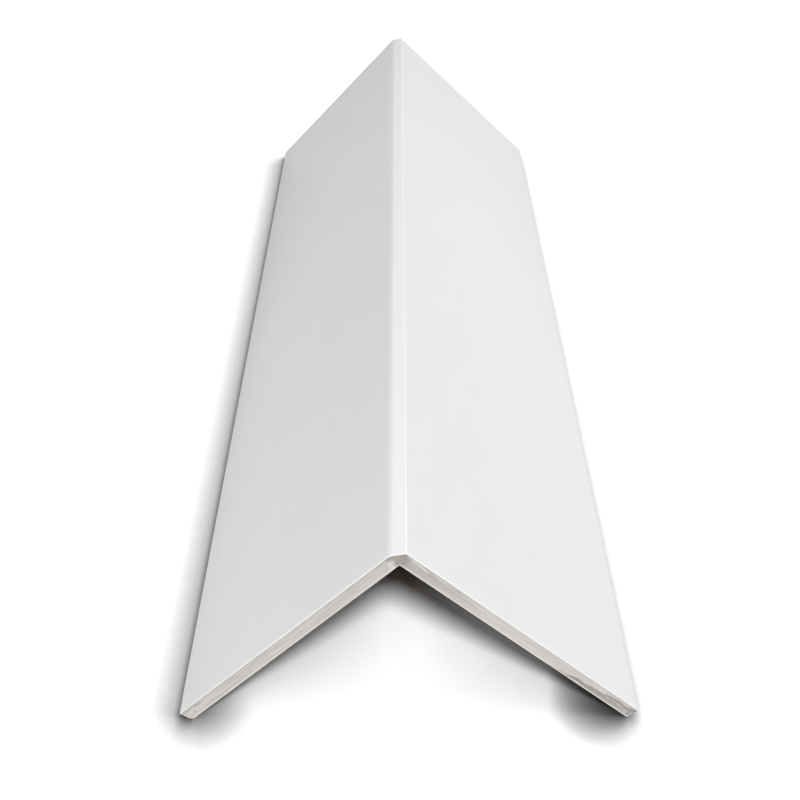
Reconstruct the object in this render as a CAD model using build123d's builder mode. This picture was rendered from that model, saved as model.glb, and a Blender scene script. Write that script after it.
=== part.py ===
from build123d import *
from math import asin, atan2, cos, degrees, hypot, radians, sin
import os

# An L-shaped corner trim, lying as a ridge on its two long edges.
# A rigid board core is folded to a right angle, and a thin film covers its outer side.
# X runs across the trim, Y along it, Z up. The origin is on the floor under the middle.

# Driving dimensions, in millimetres
length = 400.0
right_leg = 100.0  # outer face, from where the two outer faces would meet
left_leg = 96.5
thickness = 4.6  # board and film together
film = 0.35

# The outer corner is a narrow sloping face: a soft fold to the left, a crisp one to the right
left_fold = 3.9  # from the virtual corner, along each outer face
right_fold = 2.8
left_fold_radius = 3.6
right_fold_radius = 0.5

# The long edges are square, with the inner arris of each leg eased
left_arris = 1.6
right_arris = 0.6

# How far the right leg slopes down when both eased arrises touch the floor
across = (right_leg - right_arris) - (thickness - left_arris)
down = (left_leg - left_arris) - (thickness - right_arris)
slope = atan2(down, across) + asin((left_arris - right_arris) / hypot(across, down))
ridge_height = (
    (right_leg - right_arris) * sin(slope) + (thickness - right_arris) * cos(slope) + right_arris
)
ridge_offset = (left_leg * sin(slope) - right_leg * cos(slope)) / 2

# The section is drawn at the near end: its x runs down the right leg, its y down the left leg
section = Plane(
    origin=(ridge_offset, -length / 2, ridge_height),
    x_dir=(cos(slope), 0, -sin(slope)),
    z_dir=(0, 1, 0),
)


def outer_line(depth):
    """The outer side of the section, or the line that runs a given depth under it."""
    turn_left = atan2(right_fold, left_fold)
    turn_right = radians(90) - turn_left
    # A fold's corner moves along the face by depth times the tangent of half its turn
    left_shift = depth * (1 - cos(turn_left)) / sin(turn_left)
    right_shift = depth * (1 - cos(turn_right)) / sin(turn_right)
    return FilletPolyline(
        (depth, left_leg),
        (depth, left_fold + left_shift),
        (right_fold + right_shift, depth),
        (right_leg, depth),
        radius=[left_fold_radius - depth, right_fold_radius - depth],
    )


# The board: one piece, sharp in the inner corner
with BuildPart() as core:
    with BuildSketch(section) as core_section:
        with BuildLine():
            outer = outer_line(film)
            FilletPolyline(
                outer @ 1,
                (right_leg, thickness),
                (thickness, thickness),
                (thickness, left_leg),
                outer @ 0,
                radius=[right_arris, 0, left_arris],
            )
        make_face()
    extrude(amount=length)

# The film: over both outer faces and the corner, flush with the long edges
with BuildPart() as face_film:
    with BuildSketch(section) as film_section:
        with BuildLine():
            outside = outer_line(0)
            inside = outer_line(film)
            Line(outside @ 1, inside @ 1)
            Line(outside @ 0, inside @ 0)
        make_face()
    extrude(amount=length)

core.part.label = "core"
face_film.part.label = "face_film"

print(f"right leg slopes {degrees(slope):.2f} degrees, ridge {ridge_height:.2f} mm up")

os.makedirs("parts", exist_ok=True)
export_step(core.part, "parts/core.step")
export_step(face_film.part, "parts/face_film.step")
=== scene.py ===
from math import asin, atan2, cos, hypot, radians, sin, tan

import bmesh
import bpy
from mathutils import Matrix, Vector


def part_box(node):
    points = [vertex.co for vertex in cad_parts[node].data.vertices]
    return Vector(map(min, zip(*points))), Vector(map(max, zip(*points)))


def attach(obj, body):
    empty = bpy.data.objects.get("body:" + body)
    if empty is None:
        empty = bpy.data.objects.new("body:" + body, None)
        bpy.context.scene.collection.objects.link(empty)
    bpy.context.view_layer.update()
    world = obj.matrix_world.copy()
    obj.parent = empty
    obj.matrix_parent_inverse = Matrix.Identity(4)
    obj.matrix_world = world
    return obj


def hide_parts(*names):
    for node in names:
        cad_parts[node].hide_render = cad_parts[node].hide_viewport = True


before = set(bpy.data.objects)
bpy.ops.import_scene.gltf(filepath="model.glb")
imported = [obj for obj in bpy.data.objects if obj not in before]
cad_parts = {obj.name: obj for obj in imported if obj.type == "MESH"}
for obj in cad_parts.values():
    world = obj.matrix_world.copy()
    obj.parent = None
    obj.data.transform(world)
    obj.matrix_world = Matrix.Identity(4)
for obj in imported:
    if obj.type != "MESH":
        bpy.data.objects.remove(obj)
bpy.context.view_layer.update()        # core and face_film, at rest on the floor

scene = bpy.context.scene
scene.view_settings.view_transform = "Standard"

mm = 0.001
touching = 0.01 * mm             # closer than this is the same place
smoothBelow = radians(35)        # faces that meet at less than this are shaded as one

# The section, as it is cut at both ends
trim = {
    "rightLeg": 100.0 * mm,        # outer face, from where the two faces would meet
    "leftLeg": 96.5 * mm,
    "wall": 4.6 * mm,              # board and film together
    "film": 0.35 * mm,
    "rightFold": 2.8 * mm,         # where the sloping corner face starts, from the same point
    "leftFold": 3.9 * mm,
    "rightFoldRadius": 0.5 * mm,   # crisp
    "leftFoldRadius": 3.6 * mm,    # soft
    "rightArris": 0.6 * mm,        # inner arris of each long edge
    "leftArris": 1.6 * mm,
}
nearY, farY = (corner.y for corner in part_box("core"))
length = farY - nearY

# How the trim lies: both eased arrises are on the floor, so the right leg slopes down by this much
across = (trim["rightLeg"] - trim["rightArris"]) - (trim["wall"] - trim["leftArris"])
down = (trim["leftLeg"] - trim["leftArris"]) - (trim["wall"] - trim["rightArris"])
slope = atan2(down, across) + asin((trim["leftArris"] - trim["rightArris"]) / hypot(across, down))
ridge = Vector((
    (trim["leftLeg"] * sin(slope) - trim["rightLeg"] * cos(slope)) / 2,
    0,
    (trim["rightLeg"] - trim["rightArris"]) * sin(slope)
    + (trim["wall"] - trim["rightArris"]) * cos(slope)
    + trim["rightArris"],
))
turnLeft = atan2(trim["rightFold"], trim["leftFold"])     # how far each fold bends
turnRight = radians(90) - turnLeft


# Helpers for modelling

def useOnly(piece):
    bpy.ops.object.select_all(action="DESELECT")
    piece.select_set(True)
    bpy.context.view_layer.objects.active = piece


# In edit mode, selects only the verts, edges or faces that wanted() says yes to
def pick(piece, kind, wanted):
    mesh = bmesh.from_edit_mesh(piece.data)
    bpy.ops.mesh.select_all(action="DESELECT")
    for part in getattr(mesh, kind):
        if wanted(part):
            part.select_set(True)
    mesh.select_flush_mode()
    bmesh.update_edit_mesh(piece.data)


def near(point, x, z):
    return hypot(point.x - x, point.z - z) < touching


# Says yes to an edge that runs along the trim through that place in the section
def edgeAt(x, z):
    return lambda edge: all(near(vert.co, x, z) for vert in edge.verts)


def extrude(x, y, z):
    bpy.ops.mesh.extrude_region_move(TRANSFORM_OT_translate={"value": (x, y, z)})


def cutAll(place, direction, **settings):
    bpy.ops.mesh.select_all(action="SELECT")
    bpy.ops.mesh.bisect(plane_co=place, plane_no=direction, **settings)


# From the bench, where the right leg is level, to where the trim lies on the floor
def layDown(piece):
    useOnly(piece)
    piece.rotation_euler = (0, slope, 0)
    piece.location = ridge
    bpy.ops.object.transform_apply(location=True, rotation=True, scale=True)


def applyAll(piece):
    useOnly(piece)
    for modifier in list(piece.modifiers):
        bpy.ops.object.modifier_apply(modifier=modifier.name)


# The film: one thin sheet, folded twice at the corner

film = {
    "softSegments": 16,
    "crispSegments": 8,
    "crispHold": 1.2 * mm,      # a cut beside each fold keeps the flat faces flat
    "softHold": 2.4 * mm,
    "edgeRadius": 0.05 * mm,
    "edgeSegments": 2,
    "edgeAngle": radians(60),   # sharper edges than this are eased
}


def makeFilm():
    right, left = trim["rightLeg"], trim["leftLeg"]
    foldX, foldZ = trim["rightFold"], trim["leftFold"]
    bpy.ops.mesh.primitive_plane_add(size=1, location=((foldX + right) / 2, 0, 0))
    piece = bpy.context.object
    piece.name = "white_film"
    piece.scale = (right - foldX, length, 1)
    useOnly(piece)
    bpy.ops.object.transform_apply(location=True, rotation=True, scale=True)
    bpy.ops.object.mode_set(mode="EDIT")
    bpy.ops.mesh.select_mode(type="EDGE")
    pick(piece, "edges", edgeAt(foldX, 0))
    extrude(-foldX, 0, -foldZ)
    extrude(0, 0, foldZ - left)
    folds = (
        (foldX, 0, turnRight, trim["rightFoldRadius"], film["crispSegments"]),
        (0, -foldZ, turnLeft, trim["leftFoldRadius"], film["softSegments"]),
    )
    for x, z, turn, radius, segments in folds:
        pick(piece, "edges", edgeAt(x, z))
        bpy.ops.mesh.bevel(offset=radius * tan(turn / 2), segments=segments, affect="EDGES")
    cutAll((foldX + film["crispHold"], 0, 0), (1, 0, 0))
    cutAll((0, 0, -foldZ - film["softHold"]), (0, 0, 1))
    bpy.ops.object.mode_set(mode="OBJECT")
    flat = max(piece.data.polygons, key=lambda face: face.center.z)
    if flat.normal.z < 0:
        piece.data.flip_normals()      # the sheet thickens away from its outer side
    thick = piece.modifiers.new("thickness", "SOLIDIFY")
    thick.thickness = trim["film"]
    thick.offset = -1
    thick.use_even_offset = True
    edge = piece.modifiers.new("edge", "BEVEL")
    edge.width = film["edgeRadius"]
    edge.segments = film["edgeSegments"]
    edge.limit_method = "ANGLE"
    edge.angle_limit = film["edgeAngle"]
    applyAll(piece)
    bpy.ops.object.shade_smooth_by_angle(angle=smoothBelow)
    layDown(piece)
    return piece


# The board: one piece, sharp in the inner corner, sawn at both ends

board = {
    "cell": 0.5 * mm,           # the grid on the sawn ends
    "crispSegments": 3,
    "softSegments": 8,
    "rightArrisSegments": 5,
    "leftArrisSegments": 10,
    "sawDepth": 0.10 * mm,
    "sawSize": 1.6 * mm,
    "sawDetail": 3,
}


def makeBoard():
    right, left, wall = trim["rightLeg"], trim["leftLeg"], trim["wall"]
    cover = trim["film"]
    middle = (wall + cover) / 2
    bpy.ops.mesh.primitive_plane_add(
        size=wall - cover,
        location=(middle, nearY, -middle),
        rotation=(radians(90), 0, 0),
    )
    piece = bpy.context.object
    piece.name = "board"
    useOnly(piece)
    bpy.ops.object.transform_apply(location=True, rotation=True, scale=True)
    bpy.ops.object.mode_set(mode="EDIT")
    bpy.ops.mesh.select_mode(type="EDGE")

    def onRightSide(edge):
        return all(abs(vert.co.x - wall) < touching for vert in edge.verts)

    def underCorner(edge):
        return all(
            abs(vert.co.z + wall) < touching and vert.co.x < wall + touching
            for vert in edge.verts
        )

    pick(piece, "edges", onRightSide)
    extrude(right - wall, 0, 0)
    pick(piece, "edges", underCorner)
    extrude(0, 0, wall - left)
    # The outer corner is cut off along the sloping face, under the film
    foldX = trim["rightFold"] + cover * tan(turnRight / 2)
    foldZ = trim["leftFold"] + cover * tan(turnLeft / 2)
    outwards = Vector((cover - foldZ, 0, foldX - cover)).normalized()
    cutAll((foldX, nearY, -cover), outwards, clear_outer=True)
    rightOffset = (trim["rightFoldRadius"] - cover) * tan(turnRight / 2)
    leftOffset = (trim["leftFoldRadius"] - cover) * tan(turnLeft / 2)
    rounds = (
        (foldX, -cover, rightOffset, board["crispSegments"]),
        (cover, -foldZ, leftOffset, board["softSegments"]),
        (right, -wall, trim["rightArris"], board["rightArrisSegments"]),
        (wall, -left, trim["leftArris"], board["leftArrisSegments"]),
    )
    for x, z, offset, segments in rounds:
        pick(piece, "verts", lambda vert: near(vert.co, x, z))
        bpy.ops.mesh.bevel(offset=offset, segments=segments, affect="VERTICES")
    # A fine grid for the saw's marks
    for x in steps(cover, right, board["cell"]):
        cutAll((x, 0, 0), (1, 0, 0))
    for z in steps(cover, left, board["cell"]):
        cutAll((0, 0, -z), (0, 0, 1))
    bpy.ops.mesh.select_all(action="SELECT")
    extrude(0, length, 0)
    bpy.ops.mesh.select_all(action="SELECT")
    bpy.ops.mesh.normals_make_consistent(inside=False)
    bpy.ops.object.mode_set(mode="OBJECT")
    sawEnds(piece)
    useOnly(piece)
    bpy.ops.object.shade_smooth_by_angle(angle=smoothBelow)
    layDown(piece)
    return piece


# Even steps after the start, all more than one step short of the stop
def steps(start, stop, step):
    count = int((stop - start) / step)
    return [start + step * (k + 1) for k in range(count - 1)]


# Both cut ends get shallow, uneven saw marks, only ever into the board
def sawEnds(piece):
    marks = bpy.data.textures.new("saw marks", "CLOUDS")
    marks.noise_scale = board["sawSize"]
    marks.noise_depth = board["sawDetail"]
    for name, y, inwards in (("near", nearY, 1), ("far", farY, -1)):
        group = piece.vertex_groups.new(name=name)
        atEnd = [vert.index for vert in piece.data.vertices if abs(vert.co.y - y) < touching]
        group.add(atEnd, 1, "REPLACE")
        rough = piece.modifiers.new(name, "DISPLACE")
        rough.texture = marks
        rough.texture_coords = "LOCAL"
        rough.direction = "Y"
        rough.vertex_group = name
        rough.strength = board["sawDepth"] * inwards
        rough.mid_level = 0
    applyAll(piece)
    piece.vertex_groups.clear()


whiteFilm = makeFilm()
print("film", len(whiteFilm.data.polygons), "faces")
rawBoard = makeBoard()
print("board", len(rawBoard.data.polygons), "faces")


# Helpers for materials

def addNode(tree, kind, inputs=None, **settings):
    new = tree.nodes.new(kind if kind.startswith("Node") else "ShaderNode" + kind)
    for name, value in settings.items():
        setattr(new, name, value)
    for name, value in (inputs or {}).items():
        setInput(tree, new.inputs[name], value)
    return new


# A value that another node gives is linked, and any other is set
def setInput(tree, socket, value):
    if isinstance(value, bpy.types.NodeSocket):
        tree.links.new(value, socket)
    else:
        socket.default_value = value


def calculate(tree, operation, *values):
    new = addNode(tree, "Math", operation=operation)
    for socket, value in zip(new.inputs, values):
        setInput(tree, socket, value)
    return new.outputs[0]


def reckon(tree, operation, inputs):
    return addNode(tree, "VectorMath", inputs, operation=operation).outputs[0]


# From 0 to 1 as the value goes from start to stop, with soft ends
def softStep(tree, value, start, stop):
    return addNode(tree, "MapRange", {"Value": value, "From Min": start, "From Max": stop},
                   interpolation_type="SMOOTHSTEP").outputs["Result"]


# Adds each value to the first one, times its share
def addShares(tree, total, *shares):
    for value, share in shares:
        total = calculate(tree, "MULTIPLY_ADD", value, share, total)
    return total


# The base colour, with the other one where the mask is 1
def blend(tree, mask, base, other):
    inputs = {"Factor": mask, "A": base, "B": other}
    return addNode(tree, "Mix", inputs, data_type="RGBA").outputs["Result"]


def setSurface(tree, shader, kind="OutputMaterial"):
    addNode(tree, kind, {"Surface": shader.outputs[0]})


def emptyMaterial(name):
    material = bpy.data.materials.new(name)
    material.use_nodes = True
    material.node_tree.nodes.clear()
    return material


# A node group with named sockets: its tree, what it is given and what it has to give
def emptyGroup(name, inputs, outputs):
    tree = bpy.data.node_groups.new(name, "ShaderNodeTree")
    for socketName, (kind, value) in inputs.items():
        socket = tree.interface.new_socket(socketName, in_out="INPUT", socket_type="NodeSocket" + kind)
        socket.default_value = value
    for socketName, kind in outputs.items():
        tree.interface.new_socket(socketName, in_out="OUTPUT", socket_type="NodeSocket" + kind)
    start = addNode(tree, "NodeGroupInput")
    end = addNode(tree, "NodeGroupOutput")
    return tree, start.outputs, end.inputs


def useGroup(tree, group, inputs):
    return addNode(tree, "Group", inputs, node_tree=group).outputs


# Over which distances from an end, in mm, its own look fades in
endFade = {
    "sawn": (0.4, 0.15),      # each sawn end, where the film's painted edge highlight fades in
    "near": (1.0, 0.4),       # the end that the photo shows nearest
}


# Where a point is in the section, in mm: along its leg, how deep under the outer face, along the trim
def makeSectionPlace():
    tree, given, wanted = emptyGroup(
        "section place",
        {"Object": ("Vector", (0, 0, 0))},
        {
            "Place": "Vector",
            "Corner": "Vector",
            "Along": "Float",
            "Depth": "Float",
            "Right Leg": "Float",
            "Sawn End": "Float",
            "Near End": "Float",
        },
    )
    bench = addNode(tree, "Mapping", {
        "Vector": given["Object"],
        "Location": ridge,
        "Rotation": (0, slope, 0),
        "Scale": (mm, mm, mm),
    }, vector_type="TEXTURE")
    split = addNode(tree, "SeparateXYZ", {"Vector": bench.outputs[0]})
    right, trimwise = split.outputs["X"], split.outputs["Y"]
    left = calculate(tree, "MULTIPLY", split.outputs["Z"], -1)
    along = calculate(tree, "MAXIMUM", right, left)
    depth = calculate(tree, "MINIMUM", right, left)
    place = addNode(tree, "CombineXYZ", {"X": along, "Y": depth, "Z": trimwise})
    corner = addNode(tree, "CombineXYZ", {"X": right, "Y": left})
    fromMiddle = calculate(tree, "ABSOLUTE", trimwise)
    halfLength = length / 2 / mm
    sawnStart, sawnStop = (halfLength - distance for distance in endFade["sawn"])
    nearStart, nearStop = (distance - halfLength for distance in endFade["near"])
    for name, value in (
        ("Place", place.outputs[0]),
        ("Corner", corner.outputs[0]),
        ("Along", along),
        ("Depth", depth),
        ("Right Leg", calculate(tree, "GREATER_THAN", right, left)),
        ("Sawn End", softStep(tree, fromMiddle, sawnStart, sawnStop)),
        ("Near End", softStep(tree, trimwise, nearStart, nearStop)),
    ):
        tree.links.new(value, wanted[name])
    return tree


patchShape = {
    "raggedScale": 0.9,
    "raggedDetail": 2,
    "edge": (1.35, 0.75),      # where it fades out and where it is full, times its half size
}


# One soft-edged patch at a place in the section
def makePatch():
    tree, given, wanted = emptyGroup(
        "patch",
        {
            "Place": ("Vector", (0, 0, 0)),
            "Centre": ("Vector", (0, 0, 0)),
            "Size": ("Vector", (1, 1, 1)),
            "Turn": ("Vector", (0, 0, 0)),
            "Ragged": ("Float", 0.3),
        },
        {"Mask": "Float"},
    )
    flat = reckon(tree, "MULTIPLY", {0: given["Place"], 1: (1, 1, 0)})
    rough = addNode(tree, "TexNoise", {
        "Vector": flat,
        "Scale": patchShape["raggedScale"],
        "Detail": patchShape["raggedDetail"],
    })
    centred = reckon(tree, "SUBTRACT", {0: rough.outputs["Color"], 1: (0.5, 0.5, 0.5)})
    pushed = reckon(tree, "SCALE", {0: centred, "Scale": given["Ragged"]})
    moved = reckon(tree, "ADD", {0: flat, 1: pushed})
    local = addNode(tree, "Mapping", {
        "Vector": reckon(tree, "MULTIPLY", {0: moved, 1: (1, 1, 0)}),
        "Location": given["Centre"],
        "Rotation": given["Turn"],
        "Scale": given["Size"],
    }, vector_type="TEXTURE")
    away = addNode(tree, "VectorMath", {0: local.outputs[0]}, operation="LENGTH")
    mask = softStep(tree, away.outputs["Value"], *patchShape["edge"])
    tree.links.new(mask, wanted["Mask"])
    return tree


# Noise drawn out by its own amount each way
def makeStreaks():
    tree, given, wanted = emptyGroup(
        "streaks",
        {
            "Place": ("Vector", (0, 0, 0)),
            "Size": ("Vector", (1, 1, 1)),
            "Detail": ("Float", 2.0),
            "Contrast": ("Float", 1.0),
        },
        {"Value": "Float"},
    )
    noise = addNode(tree, "TexNoise", {
        "Vector": reckon(tree, "DIVIDE", {0: given["Place"], 1: given["Size"]}),
        "Scale": 1,
        "Detail": given["Detail"],
    })
    signed = calculate(tree, "SUBTRACT", noise.outputs["Fac"], 0.5)
    tree.links.new(calculate(tree, "MULTIPLY", signed, given["Contrast"]), wanted["Value"])
    return tree


sectionPlace = makeSectionPlace()
patch = makePatch()
streaks = makeStreaks()


def addSection(tree):
    coordinates = addNode(tree, "TexCoord")
    return useGroup(tree, sectionPlace, {"Object": coordinates.outputs["Object"]})


def addStreaks(tree, section, kind):
    return useGroup(tree, streaks, {"Place": section["Place"], **kind})["Value"]


# The patch's centre and half size are along the leg and into the wall, in mm, and its turn in degrees
def addPatch(tree, place, centre, size, ragged, turn=0):
    return useGroup(tree, patch, {
        "Place": place,
        "Centre": (*centre, 0),
        "Size": (*size, 1),
        "Turn": (0, 0, radians(turn)),
        "Ragged": ragged,
    })["Mask"]


# The film's look

filmFinish = {
    "colour": (0.82, 0.82, 0.822, 1),
    "cornerLight": (0.87, 0.87, 0.87, 1),    # painted light: the corner's sloping face is drawn lighter, as it faces up into the light
    "creaseHighlight": (0.90, 0.90, 0.90, 1),       # painted highlight along the crisp fold
    # painted highlight along the film's edge at each sawn end
    "sawnEdgeHighlight": (0.92, 0.92, 0.92, 1),
    "greyLine": (0.68, 0.68, 0.68, 1),     # the trimmed edge of the right leg
    "paleEdgeHighlight": (0.88, 0.88, 0.88, 1),     # painted highlight along the trimmed edge of the left leg
    "cornerDepth": (0.15, 0.8),            # how deep under the outer faces the painted corner light starts
    "creaseShift": 0.05,                   # from the fold, in mm
    "creaseSize": (0.34, 0.5),
    "creaseRagged": 0.05,
    "lineWidth": (0.55, 0.3),              # in from the trimmed edge, in mm
    "cloud": {"Size": (14, 14, 30), "Detail": 3.0, "Contrast": 0.03},
    # The faint orange peel, and what it does to the tone, the gloss and the surface
    "peel": {"Size": (0.7, 0.7, 0.7), "Detail": 1.5, "Contrast": 1.0},
    "peelTone": 0.02,
    "peelGloss": 0.12,
    "bumpStrength": 0.25,
    "bumpHeight": 0.02 * mm,
    "roughness": 0.42,
}


def makeFilmMaterial():
    material = emptyMaterial("white satin film")
    tree = material.node_tree
    section = addSection(tree)
    cloud = addStreaks(tree, section, filmFinish["cloud"])
    peel = addStreaks(tree, section, filmFinish["peel"])
    # On the outer side, only the corner's sloping face is deeper than both outer faces; the film is painted
    # lighter there, as painted light
    overCorner = softStep(tree, section["Depth"], *filmFinish["cornerDepth"])
    # A painted highlight along the crisp fold
    creaseCentre = (trim["rightFold"] / mm + filmFinish["creaseShift"], 0)
    creaseHighlight = addPatch(
        tree, section["Corner"], creaseCentre, filmFinish["creaseSize"], filmFinish["creaseRagged"]
    )
    widerBy = (trim["rightLeg"] - trim["leftLeg"]) / mm
    legEnd = calculate(tree, "MULTIPLY_ADD", section["Right Leg"], widerBy, trim["leftLeg"] / mm)
    fromEnd = calculate(tree, "SUBTRACT", legEnd, section["Along"])
    # Along the trimmed edges: a painted highlight on the left leg, a darker grey line on the right leg
    trimmed = softStep(tree, fromEnd, *filmFinish["lineWidth"])
    line = blend(tree, section["Right Leg"], filmFinish["paleEdgeHighlight"], filmFinish["greyLine"])
    colour = filmFinish["colour"]
    for mask, other in (
        (overCorner, filmFinish["cornerLight"]),
        (creaseHighlight, filmFinish["creaseHighlight"]),
        (trimmed, line),
        # the painted highlight at the sawn ends
        (section["Sawn End"], filmFinish["sawnEdgeHighlight"]),
    ):
        colour = blend(tree, mask, colour, other)
    tint = calculate(tree, "ADD", 1, cloud)
    tint = addShares(tree, tint, (peel, filmFinish["peelTone"]))
    bump = addNode(tree, "Bump", {
        "Height": peel,
        "Strength": filmFinish["bumpStrength"],
        "Distance": filmFinish["bumpHeight"],
    })
    shader = addNode(tree, "BsdfPrincipled", {
        "Base Color": reckon(tree, "SCALE", {0: colour, "Scale": tint}),
        "Roughness": addShares(tree, filmFinish["roughness"], (peel, filmFinish["peelGloss"])),
        "Normal": bump.outputs[0],
    })
    setSurface(tree, shader)
    return material


# The board's look

boardFinish = {
    "dark": (0.30, 0.275, 0.255, 1),
    "middle": (0.545, 0.515, 0.485, 1),
    "light": (0.72, 0.70, 0.67, 1),
    "roughness": 0.8,
    "mottleRoughness": 0.2,
    # How long, thick and deep the streaks are, in mm
    "broad": {"Size": (11, 0.67, 60), "Detail": 3.0, "Contrast": 1.0},
    "fine": {"Size": (3.2, 0.24, 25), "Detail": 2.0, "Contrast": 1.0},
    "mottle": {"Size": (1.1, 0.8, 6), "Detail": 4.0, "Contrast": 1.0},
    "wander": {"Size": (6, 30, 90), "Detail": 2.0, "Contrast": 1.0},
    # How much each adds to the relief, how strong that is and how high
    "relief": {"broad": 0.3, "fine": 0.5, "mottle": 0.6},
    "bumpStrength": 0.5,
    "bumpHeight": 0.2 * mm,
    # How much each adds to the tone, from 0 for dark to 1 for light
    "plainTone": 0.5,
    "tones": {
        "broad": 0.85,
        "fine": 0.5,
        "mottle": 0.22,
        "corner": -0.26,
        "darkStart": -0.14,
        "paleMiddle": 0.16,
        "midLeft": 0.08,
        "figure": -0.42,
        "outline": -0.3,
        # painted highlight along the inner arris
        "skin": 0.52,
        "glue": -0.1,
    },
    # Where each stretch of the leg starts and where it is full, in mm along the leg
    "cornerSpan": (6.6, 4.6),
    "cornerWander": 1.5,
    "darkSpan": (30, 12),
    "paleSpan": (22, 36),
    "legWander": 10,
    # The figure's edge rises from near the inner side to near the outer side
    "figureSpan": (60, 65),
    "figureRise": (62, 98),
    "figureStart": 0.25,         # mm from the inner side
    "figureStop": 0.9,           # mm from the outer side
    "figureWander": 2.6,
    "figureEdge": (-0.25, 0.4),
    "outlineEdge": (1.4, 0.3),
    # Layers of the wall: in mm from the inner side, then from the outer side
    # Where the painted highlight along the inner arris fades in and out
    "arrisHighlightStart": (0.75, 0.35),
    "arrisHighlightStop": (0.005, 0.03),
    "smoothInside": (0.02, 0.07),
    "glueSpan": (0.85, 0.55),
    "middleDepth": 2.4,
    "middleSpan": (1.5, 0.3),
    # Marks on the near end: along the leg, depth, half length, half thickness, turn, tone
    "leftMarks": (
        (6.05, 3.0, 1.7, 0.8, 32, 0.36),
        (4.7, 3.9, 0.45, 0.4, 0, -0.30),
        (18.1, 2.2, 0.7, 0.25, 0, -0.16),
        (66.8, 3.5, 0.5, 0.35, 0, -0.16),
        (89.4, 1.3, 1.5, 0.3, 0, -0.22),
        (92.5, 2.9, 0.6, 0.55, 0, -0.30),
    ),
    "rightMarks": (
        (4.9, 3.7, 0.45, 0.4, 0, -0.30),
        (8.0, 0.95, 3.6, 0.32, 4, 0.55),
        (11.4, 1.45, 0.9, 0.35, 10, 0.22),
        (18.0, 0.95, 4.5, 0.24, 1, 0.36),
        (90.5, 3.2, 3.5, 0.5, 0, -0.16),
    ),
    "markRagged": 0.35,
    # Bluish specks at the tip of the right leg: along, depth, half length, half thickness
    "cool": (0.30, 0.315, 0.33, 1),
    "coolSpecks": ((98.3, 1.9, 0.7, 0.9), (98.8, 3.3, 0.5, 0.6)),
    "speckRagged": 0.5,
}


# What each layer and stretch of the board adds to the tone, as a mask or a signed value
def makeBoardLayers(tree, section, grain):
    along, depth, onRight = section["Along"], section["Depth"], section["Right Leg"]
    onLeft = calculate(tree, "SUBTRACT", 1, onRight)
    wall = trim["wall"] / mm
    fromCorner = addShares(tree, along, (grain["mottle"], boardFinish["cornerWander"]))
    corner = softStep(tree, fromCorner, *boardFinish["cornerSpan"])
    loose = addShares(tree, along, (grain["wander"], boardFinish["legWander"]))
    rightward = calculate(tree, "MAXIMUM", onRight, corner)
    darkStart = softStep(tree, loose, *boardFinish["darkSpan"])
    paleMiddle = softStep(tree, loose, *boardFinish["paleSpan"])
    # A darker figure creeps up from the inner side towards the tip of the right leg
    riseStart, riseStop = boardFinish["figureRise"]
    rise = addNode(tree, "MapRange", {
        "Value": along,
        "From Min": riseStart,
        "From Max": riseStop,
        "To Min": wall - boardFinish["figureStart"],
        "To Max": boardFinish["figureStop"],
    })
    edge = addShares(tree, rise.outputs["Result"], (grain["wander"], boardFinish["figureWander"]))
    inside = calculate(tree, "SUBTRACT", depth, edge)
    figure = calculate(tree, "MULTIPLY", onRight, softStep(tree, inside, *boardFinish["figureEdge"]))
    figure = calculate(tree, "MULTIPLY", figure, softStep(tree, along, *boardFinish["figureSpan"]))
    outline = softStep(tree, inside, *boardFinish["outlineEdge"])
    # A painted highlight along the inner arris, and the dull line under the film
    arrisHighlightStart = softStep(tree, depth, *(wall - distance for distance in boardFinish["arrisHighlightStart"]))
    arrisHighlightStop = softStep(tree, depth, *(wall - distance for distance in boardFinish["arrisHighlightStop"]))
    fromMiddle = calculate(tree, "SUBTRACT", depth, boardFinish["middleDepth"])
    fromMiddle = calculate(tree, "ABSOLUTE", fromMiddle)
    midLeft = softStep(tree, fromMiddle, *boardFinish["middleSpan"])
    streaky = calculate(tree, "SUBTRACT", 1, corner)
    return {
        "broad": calculate(tree, "MULTIPLY", grain["broad"], streaky),
        "fine": calculate(tree, "MULTIPLY", grain["fine"], streaky),
        "mottle": grain["mottle"],
        "corner": corner,
        "darkStart": calculate(tree, "MULTIPLY", rightward, darkStart),
        "paleMiddle": calculate(tree, "MULTIPLY", onRight, paleMiddle),
        "midLeft": calculate(tree, "MULTIPLY", onLeft, midLeft),
        "figure": figure,
        "outline": calculate(tree, "MULTIPLY", figure, outline),
        "skin": calculate(tree, "MULTIPLY", arrisHighlightStart, arrisHighlightStop),
        "glue": softStep(tree, depth, *boardFinish["glueSpan"]),
    }


# The marks of the near end, each on its own leg
def makeNearMarks(tree, section):
    onRight = section["Right Leg"]
    onLeft = calculate(tree, "SUBTRACT", 1, onRight)
    total = 0.0
    for marks, leg in ((boardFinish["leftMarks"], onLeft), (boardFinish["rightMarks"], onRight)):
        legTotal = 0.0
        for along, deep, halfLength, halfThick, turn, strength in marks:
            mask = addPatch(
                tree, section["Place"], (along, deep), (halfLength, halfThick),
                boardFinish["markRagged"], turn,
            )
            legTotal = addShares(tree, legTotal, (mask, strength))
        total = addShares(tree, total, (legTotal, leg))
    return calculate(tree, "MULTIPLY", total, section["Near End"])


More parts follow.
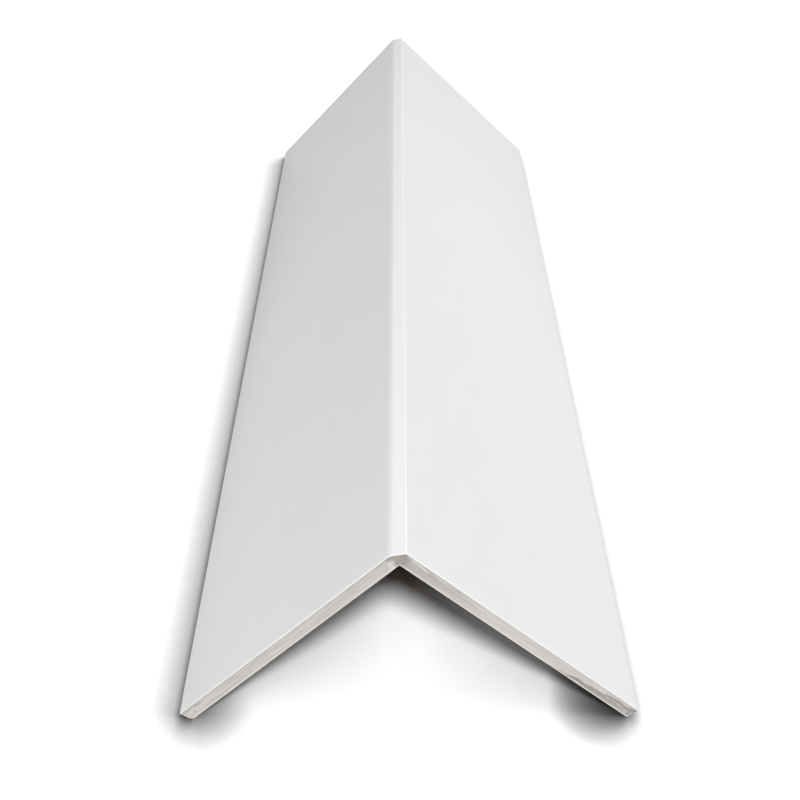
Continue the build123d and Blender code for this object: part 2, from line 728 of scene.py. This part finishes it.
def makeBoardMaterial():
    material = emptyMaterial("raw board")
    tree = material.node_tree
    section = addSection(tree)
    grain = {
        name: addStreaks(tree, section, boardFinish[name])
        for name in ("broad", "fine", "mottle", "wander")
    }
    layers = makeBoardLayers(tree, section, grain)
    shares = [(layers[name], share) for name, share in boardFinish["tones"].items()]
    tone = addShares(tree, boardFinish["plainTone"], *shares)
    tone = calculate(tree, "ADD", tone, makeNearMarks(tree, section))
    ramp = addNode(tree, "ValToRGB", {"Fac": tone})
    ramp.color_ramp.elements[0].color = boardFinish["dark"]
    ramp.color_ramp.elements[1].color = boardFinish["light"]
    ramp.color_ramp.elements.new(0.5).color = boardFinish["middle"]
    colour = ramp.outputs["Color"]
    for along, deep, halfLength, halfThick in boardFinish["coolSpecks"]:
        speck = addPatch(
            tree, section["Place"], (along, deep), (halfLength, halfThick), boardFinish["speckRagged"]
        )
        speck = calculate(tree, "MULTIPLY", speck, section["Right Leg"])
        speck = calculate(tree, "MULTIPLY", speck, section["Near End"])
        colour = blend(tree, speck, colour, boardFinish["cool"])
    # The relief stops at the inner faces, which are smooth
    wall = trim["wall"] / mm
    inWall = softStep(tree, section["Depth"], *(wall - distance for distance in boardFinish["smoothInside"]))
    relief = addShares(
        tree, 0.0, *((grain[name], share) for name, share in boardFinish["relief"].items())
    )
    relief = calculate(tree, "MULTIPLY", relief, inWall)
    bump = addNode(tree, "Bump", {
        "Height": relief,
        "Strength": boardFinish["bumpStrength"],
        "Distance": boardFinish["bumpHeight"],
    })
    roughness = addShares(
        tree, boardFinish["roughness"], (grain["mottle"], boardFinish["mottleRoughness"])
    )
    shader = addNode(tree, "BsdfPrincipled", {
        "Base Color": colour,
        "Roughness": roughness,
        "Normal": bump.outputs[0],
    })
    setSurface(tree, shader)
    return material


def finishPiece(piece, material, node):
    piece.data.materials.clear()
    piece.data.materials.append(material)
    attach(piece, "root")
    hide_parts(node)


finishPiece(whiteFilm, makeFilmMaterial(), "face_film")
finishPiece(rawBoard, makeBoardMaterial(), "core")
print("materials ready")


# The stage

stage = {
    "floorSize": 8,
    "floorColour": (0.8, 0.8, 0.8, 1),
    "shadowContrast": 1.6,        # of the shadow that the camera sees on the floor
    "shadowBlack": (0.151, 0.145, 0.138, 1),
    "shadeSamples": 16,
    # The dark line beside the trim, more to the left and in front, away from the light
    "beside": {"facing": (0.4, 0.75, 0.5), "reach": 17 * mm, "power": 3.2},
    # The shade under its sloping legs
    "under": {"facing": (0, -0.3, 1), "reach": 50 * mm, "power": 0.6},
    "ambient": 0.15,
    # The broad light in front: how high, how far to the right, how wide and how strong
    "front": {"height": radians(52), "toRight": radians(5), "width": radians(9), "strength": 2.24},
    # Soft lamps: place, size and power
    "lamps": {
        "right": ((1.4, -0.3, 1.3), 0.9, 6.0),
        "rightBack": ((0.9, 0.8, 1.25), 0.8, 3.9),
        "leftNear": ((-0.4, -0.62, 0.35), 0.35, 0.76),
    },
    "target": (0, 0, 0.03),
}


# From 1 in the open down to 0 where the trim is close, on the side that is faced
def addShade(tree, facing, reach, power):
    side = addNode(tree, "CombineXYZ", dict(zip("XYZ", facing)))
    clear = addNode(
        tree, "AmbientOcclusion",
        {"Distance": reach, "Normal": side.outputs[0]},
        samples=stage["shadeSamples"],
    )
    return calculate(tree, "POWER", clear.outputs["AO"], power)


# White to the camera, apart from the shadow beside the trim, and plain pale to everything else
def makeFloor():
    bpy.ops.object.select_all(action="DESELECT")
    bpy.ops.mesh.primitive_plane_add(size=stage["floorSize"], location=(0, 0, 0))
    floor = bpy.context.object
    floor.name = "floor"
    material = emptyMaterial("white floor")
    tree = material.node_tree
    plain = addNode(tree, "BsdfDiffuse", {"Color": stage["floorColour"]})
    shade = calculate(
        tree, "MINIMUM", addShade(tree, **stage["beside"]), addShade(tree, **stage["under"])
    )
    lit = calculate(tree, "MULTIPLY", shade, stage["shadowContrast"])
    tone = addNode(tree, "CombineColor", {"Red": lit, "Green": lit, "Blue": lit})
    white = addNode(tree, "BsdfDiffuse", {"Color": tone.outputs[0]})
    # Taking a little light away everywhere makes the cast shadow darker, too
    black = addNode(tree, "Emission", {
        "Color": stage["shadowBlack"],
        "Strength": calculate(tree, "MULTIPLY", shade, -1),
    })
    bright = addNode(tree, "AddShader", {0: white.outputs[0], 1: black.outputs[0]})
    surface = addNode(tree, "MixShader", {
        0: directRay(tree),
        1: plain.outputs[0],
        2: bright.outputs[0],
    })
    setSurface(tree, surface)
    floor.data.materials.append(material)


# 1 for what the camera sees, also in a gloss or through glass
def directRay(tree):
    seen = addNode(tree, "LightPath")
    direct = calculate(tree, "MAXIMUM", seen.outputs["Is Camera Ray"], seen.outputs["Is Glossy Ray"])
    return calculate(tree, "MAXIMUM", direct, seen.outputs["Is Transmission Ray"])


def makeWorld():
    world = bpy.data.worlds.new("studio")
    scene.world = world
    world.use_nodes = True
    tree = world.node_tree
    tree.nodes.clear()
    strength = addNode(tree, "MapRange", {
        "Value": directRay(tree),
        "To Min": stage["ambient"],
        "To Max": 1.0,
    })
    background = addNode(tree, "Background", {"Color": (1, 1, 1, 1), "Strength": strength.outputs[0]})
    setSurface(tree, background, "OutputWorld")


def aim(lamp, direction):
    lamp.rotation_euler = direction.to_track_quat("-Z", "Y").to_euler()


def addLamp(name, place, size, power):
    light = bpy.data.lights.new(name, "AREA")
    light.shape = "DISK"
    light.size = size
    light.energy = power
    lamp = bpy.data.objects.new(name, light)
    lamp.location = place
    aim(lamp, Vector(stage["target"]) - Vector(place))
    scene.collection.objects.link(lamp)


def addFrontLight():
    light = bpy.data.lights.new("front", "SUN")
    light.angle = stage["front"]["width"]
    light.energy = stage["front"]["strength"]
    lamp = bpy.data.objects.new("front", light)
    height, toRight = stage["front"]["height"], stage["front"]["toRight"]
    aim(lamp, Vector((-cos(height) * sin(toRight), cos(height) * cos(toRight), -sin(height))))
    scene.collection.objects.link(lamp)


makeFloor()
makeWorld()
addFrontLight()
for lampName, (lampPlace, lampSize, lampPower) in stage["lamps"].items():
    addLamp(lampName, lampPlace, lampSize, lampPower)
print("stage ready")


# The camera

view = {
    "place": Vector((-2.23, -406.68, 278.60)) * mm,
    "turn": radians(-0.013),     # to the right
    "dip": radians(37.25),
    "roll": radians(-0.272),     # clockwise
    "lens": 49.27,
    "sensor": 36,
}


def makeCamera():
    data = bpy.data.cameras.new("camera")
    data.sensor_width = view["sensor"]
    data.lens = view["lens"]
    camera = bpy.data.objects.new("camera", data)
    camera.location = view["place"]
    turn, dip = view["turn"], view["dip"]
    ahead = Vector((sin(turn) * cos(dip), cos(turn) * cos(dip), -sin(dip)))
    toRight = Vector((cos(turn), -sin(turn), 0))
    up = toRight.cross(ahead)
    turned = Matrix((toRight, up, -ahead)).transposed() @ Matrix.Rotation(view["roll"], 3, "Z")
    camera.rotation_euler = turned.to_euler()
    scene.collection.objects.link(camera)
    scene.camera = camera


makeCamera()
print("camera ready")
